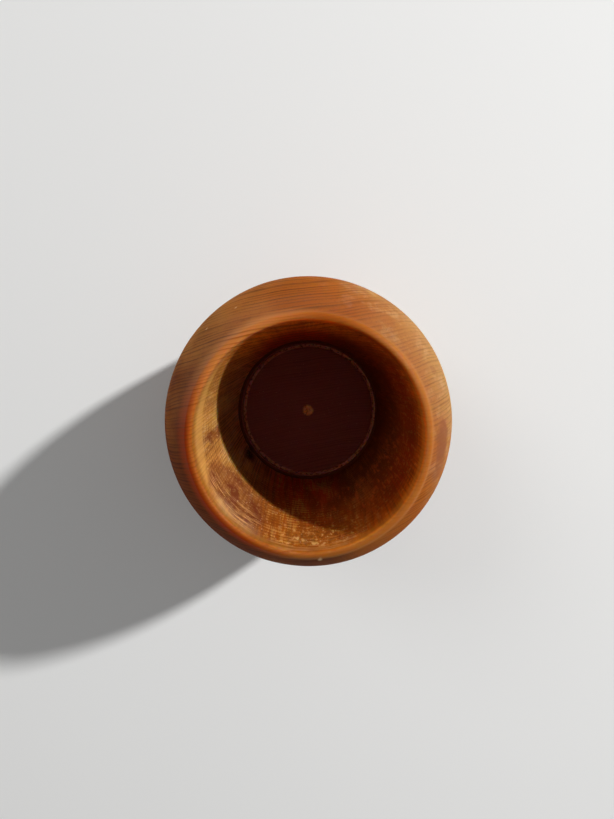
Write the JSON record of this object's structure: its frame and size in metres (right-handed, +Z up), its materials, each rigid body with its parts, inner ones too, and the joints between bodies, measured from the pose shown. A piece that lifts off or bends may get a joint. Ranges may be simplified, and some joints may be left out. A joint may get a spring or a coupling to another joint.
{
  "type": "wooden cup",
  "caption": "Round-bellied turned wooden cup with a small rounded lip, a thick base and a deep, nearly straight bored hollow.",
  "frame": {"origin": "centre of the base, on the surface that the cup stands on", "axes": "+Z up along the turning axis, out of the mouth; +X and +Y as the picture's right and up when looking into the mouth"},
  "size_m": [0.0928, 0.0928, 0.114],
  "materials": {
    "wood": "satin varnish outside, rougher cut wood inside"
  },
  "bodies": {
    "root": {"cup": "wood"}
  },
  "joints": []
}
